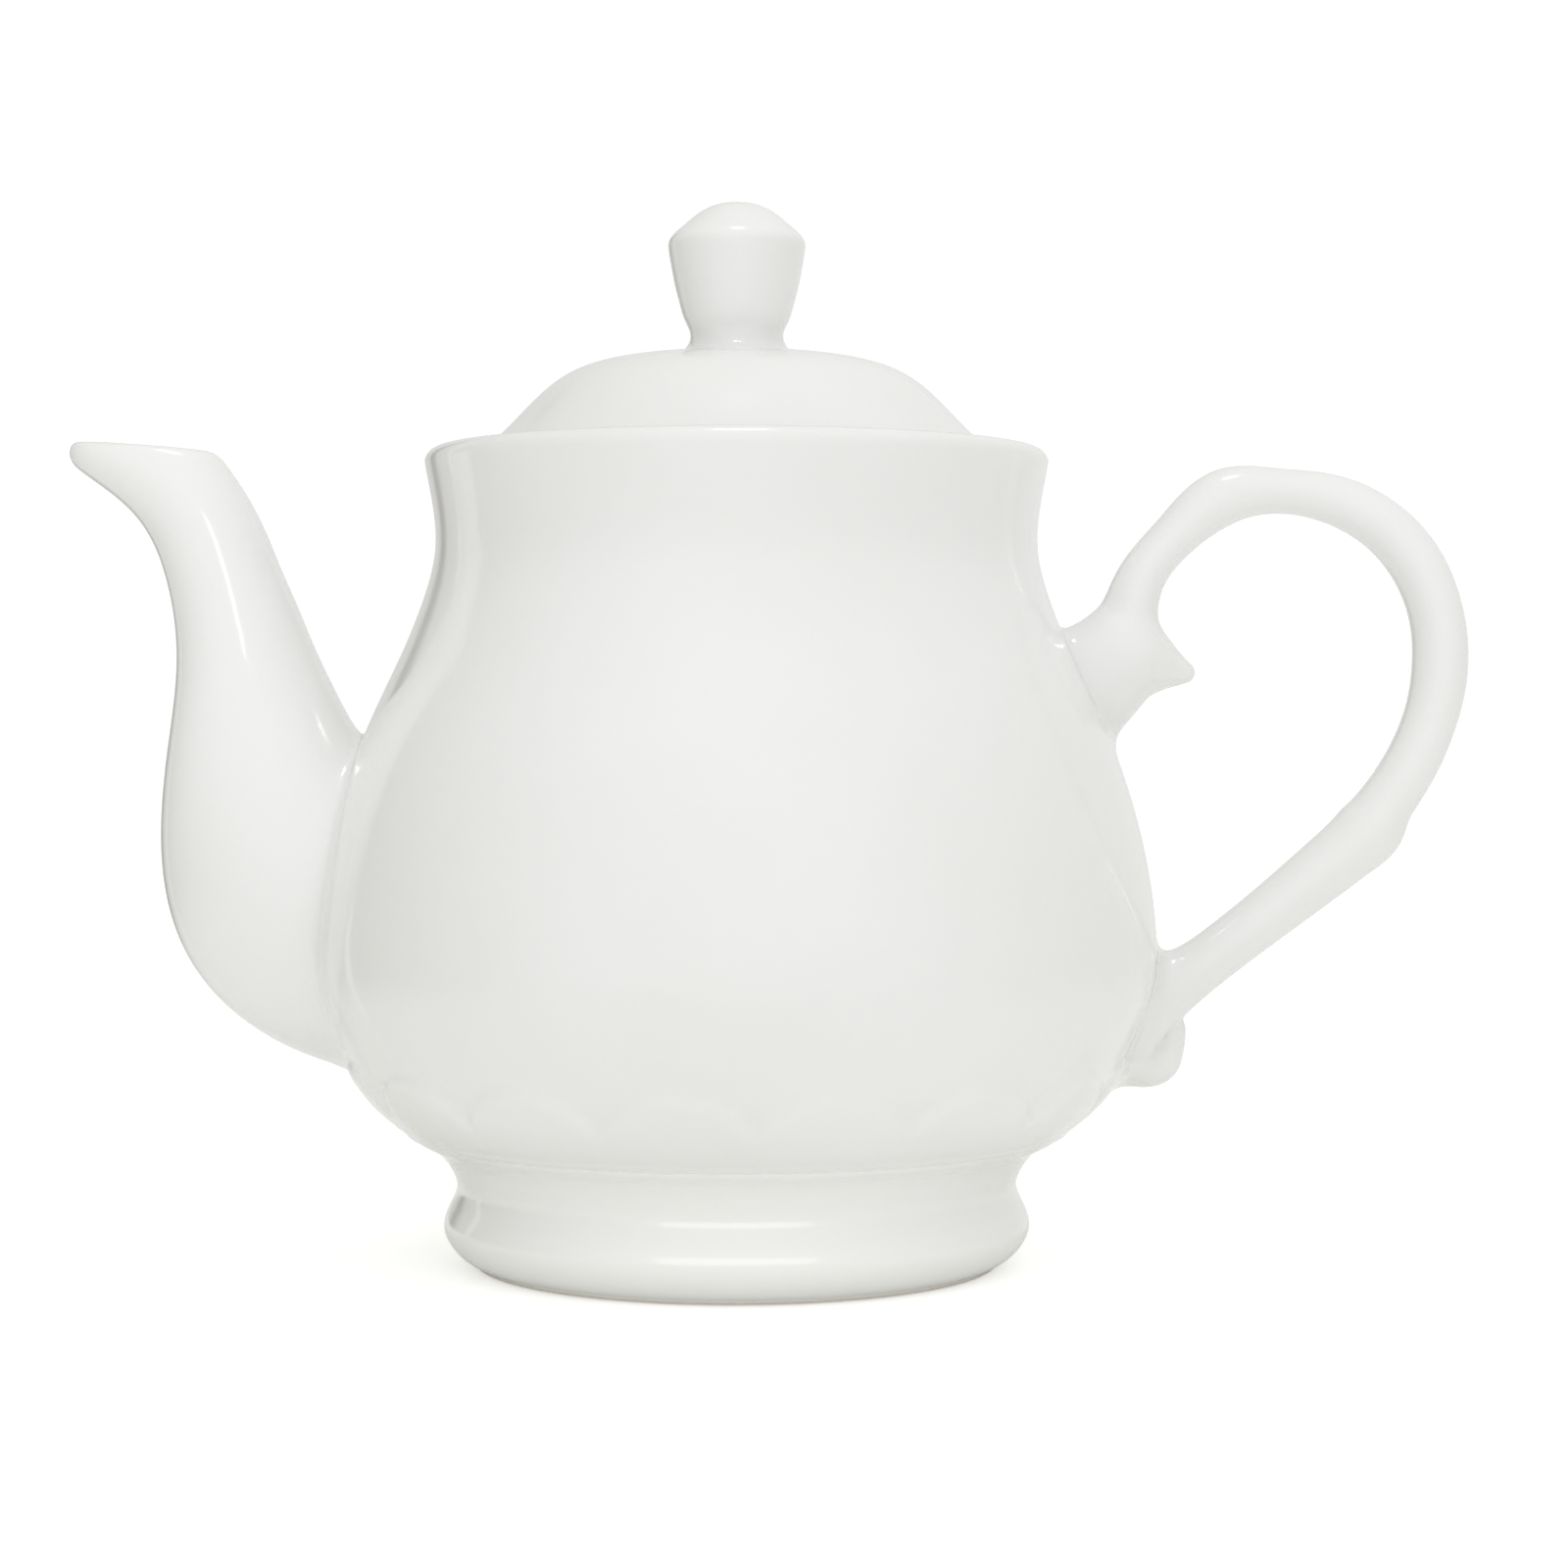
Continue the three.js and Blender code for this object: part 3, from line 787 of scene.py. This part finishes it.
floor_mesh = bpy.data.meshes.new("floor")
floor_mesh.from_pydata([(-6, -6, 0), (6, -6, 0), (6, 6, 0), (-6, 6, 0)], [], [(0, 1, 2, 3)])
floor = bpy.data.objects.new("floor", floor_mesh)
bpy.context.collection.objects.link(floor)
floor.location.z = -0.0002
paper = bpy.data.materials.new("paper")
paper.use_nodes = True
pn, pl = paper.node_tree.nodes, paper.node_tree.links
pn["Principled BSDF"].inputs["Base Color"].default_value = (0.9, 0.9, 0.88, 1)
pn["Principled BSDF"].inputs["Roughness"].default_value = 0.9
pn["Principled BSDF"].inputs["Specular IOR Level"].default_value = 0.1
pn["Principled BSDF"].inputs["Emission Color"].default_value = (1, 1, 1, 1)
pn["Principled BSDF"].inputs["Emission Strength"].default_value = 0.07
direct = pn.new("ShaderNodeLightPath")
glow = pn.new("ShaderNodeEmission")
place = pn.new("ShaderNodeTexCoord")
away = pn.new("ShaderNodeVectorMath")
away.operation = "LENGTH"
fade = pn.new("ShaderNodeMapRange")
fade.interpolation_type = "SMOOTHSTEP"
fade.inputs["From Min"].default_value = 0.05
fade.inputs["From Max"].default_value = 0.45
gone = pn.new("ShaderNodeBsdfTransparent")
near = pn.new("ShaderNodeMixShader")
white = pn.new("ShaderNodeAddShader")
glow.inputs["Strength"].default_value = 0.34
both = pn.new("ShaderNodeMixShader")
pl.new(place.outputs["Object"], away.inputs[0])
pl.new(away.outputs["Value"], fade.inputs["Value"])
pl.new(fade.outputs["Result"], near.inputs["Fac"])
pl.new(pn["Principled BSDF"].outputs["BSDF"], near.inputs[1])
pl.new(gone.outputs["BSDF"], near.inputs[2])
pl.new(pn["Principled BSDF"].outputs["BSDF"], white.inputs[0])
pl.new(glow.outputs["Emission"], white.inputs[1])
pl.new(direct.outputs["Is Camera Ray"], both.inputs["Fac"])
pl.new(near.outputs["Shader"], both.inputs[1])
pl.new(white.outputs["Shader"], both.inputs[2])
pl.new(both.outputs["Shader"], pn["Material Output"].inputs["Surface"])
floor_mesh.materials.append(paper)

# The room: bright in front, dim at the sides and dimmest on the left, with a dark band and a thin bright one
# behind on the left. Camera rays see plain white instead.

ROOM_LIGHT = 0.945
ROOM_LEAN = (0.10, -0.17, -0.02)  # brighter towards this direction
SIDES = -0.34
CORNERS = 0.18
DARK_BAND = -0.45
BRIGHT_BAND = 0.5

world = bpy.data.worlds.new("studio")
scene.world = world
world.use_nodes = True
wn, wl = world.node_tree.nodes, world.node_tree.links
way = wn.new("ShaderNodeTexCoord").outputs["Generated"]


def sum_of(operation, *terms):
    """One socket that adds or multiplies up sockets and plain numbers."""
    total = terms[0]
    for term in terms[1:]:
        node = wn.new("ShaderNodeMath")
        node.operation = operation
        for socket, value in zip(node.inputs, (total, term)):
            if isinstance(value, (int, float)):
                socket.default_value = value
            else:
                wl.new(value, socket)
        total = node.outputs[0]
    return total


def lean(direction):
    """How far a direction in the room points along this one."""
    dot = wn.new("ShaderNodeVectorMath")
    dot.operation = "DOT_PRODUCT"
    dot.inputs[1].default_value = direction
    wl.new(way, dot.inputs[0])
    return dot.outputs["Value"]


def fall(socket, start, end):
    """1 where socket is under start, 0 over end, and smooth between."""
    edge = wn.new("ShaderNodeMapRange")
    edge.interpolation_type = "SMOOTHSTEP"
    edge.inputs["From Min"].default_value = start
    edge.inputs["From Max"].default_value = end
    edge.inputs["To Min"].default_value = 1
    edge.inputs["To Max"].default_value = 0
    wl.new(socket, edge.inputs["Value"])
    return edge.outputs["Result"]


def upright_band(azimuth, half_width, softness):
    """1 in a soft-edged upright band of the room, azimuth degrees round from the camera by the left."""
    a = math.radians(azimuth)
    off = sum_of("ABSOLUTE", lean((math.cos(a), -math.sin(a), 0)), 0)
    ahead = sum_of("GREATER_THAN", lean((-math.sin(a), -math.cos(a), 0)), 0)
    band = fall(off, half_width - softness, half_width + softness)
    return sum_of("MULTIPLY", band, ahead, fall(z, 0.3, 0.6))


x, y, z = lean((1, 0, 0)), lean((0, 1, 0)), lean((0, 0, 1))
room = sum_of(
    "ADD", ROOM_LIGHT, lean(ROOM_LEAN), sum_of("MULTIPLY", x, x, SIDES), sum_of("MULTIPLY", x, y, CORNERS),
    sum_of("MULTIPLY", upright_band(148, 0.07, 0.05), DARK_BAND),
    sum_of("MULTIPLY", upright_band(128, 0.03, 0.02), BRIGHT_BAND),
)
warmth = wn.new("ShaderNodeMapRange")
warmth.inputs["From Min"].default_value = 0.35
warmth.inputs["From Max"].default_value = 0.95
wl.new(room, warmth.inputs["Value"])
hue = wn.new("ShaderNodeMix")
hue.data_type = "RGBA"
hue.inputs["A"].default_value = (1.0, 0.985, 0.90, 1)
hue.inputs["B"].default_value = (1, 1, 1, 1)
wl.new(warmth.outputs["Result"], hue.inputs["Factor"])
seen = wn.new("ShaderNodeLightPath")
tone = wn.new("ShaderNodeMix")
tone.data_type = "RGBA"
tone.inputs["B"].default_value = (1, 1, 1, 1)
wl.new(seen.outputs["Is Camera Ray"], tone.inputs["Factor"])
wl.new(hue.outputs["Result"], tone.inputs["A"])
pick = wn.new("ShaderNodeMix")
pick.data_type = "FLOAT"
pick.inputs["B"].default_value = 1.05
wl.new(seen.outputs["Is Camera Ray"], pick.inputs["Factor"])
wl.new(room, pick.inputs["A"])
wl.new(tone.outputs["Result"], wn["Background"].inputs["Color"])
wl.new(pick.outputs["Result"], wn["Background"].inputs["Strength"])


def softbox(name, at, towards, width, height, power, only=None):
    """A rectangular area light. With only, it lights just those pieces."""
    light = bpy.data.lights.new(name, "AREA")
    light.shape = "RECTANGLE"
    light.size, light.size_y = width, height
    light.energy = power
    lamp = bpy.data.objects.new(name, light)
    bpy.context.collection.objects.link(lamp)
    lamp.location = at
    aim = Vector(towards) - Vector(at)
    lamp.rotation_euler = aim.to_track_quat("-Z", "Y").to_euler()
    if only:
        lamp.light_linking.receiver_collection = bpy.data.collections.new(name)
        for piece in only:
            lamp.light_linking.receiver_collection.objects.link(piece)


softbox("overhead", at=(0.01, -0.16, 1.0), towards=(0, 0, 0.1), width=0.16, height=0.14, power=0.8)
softbox(
    "strip", at=(0.04, -0.8, 0.32), towards=(-0.08, 0, 0.1), width=0.09, height=0.26, power=0.22,
    only=[spout_piece],
)
softbox("low", at=(0, -0.7, 0.12), towards=(0, 0, 0.01), width=0.8, height=0.3, power=0.85, only=[foot_piece])

CAMERA_DIP = 1.01  # degrees that the camera looks down

camera_data = bpy.data.cameras.new("camera")
camera_data.sensor_width = 36
camera_data.lens = 76.5
camera_data.clip_start = 0.01
camera = bpy.data.objects.new("camera", camera_data)
bpy.context.collection.objects.link(camera)
camera.location = (AXIS_X + 0.00768, -0.544, 0.0875)
camera.rotation_euler = (math.radians(90 - CAMERA_DIP), 0, 0)
scene.camera = camera
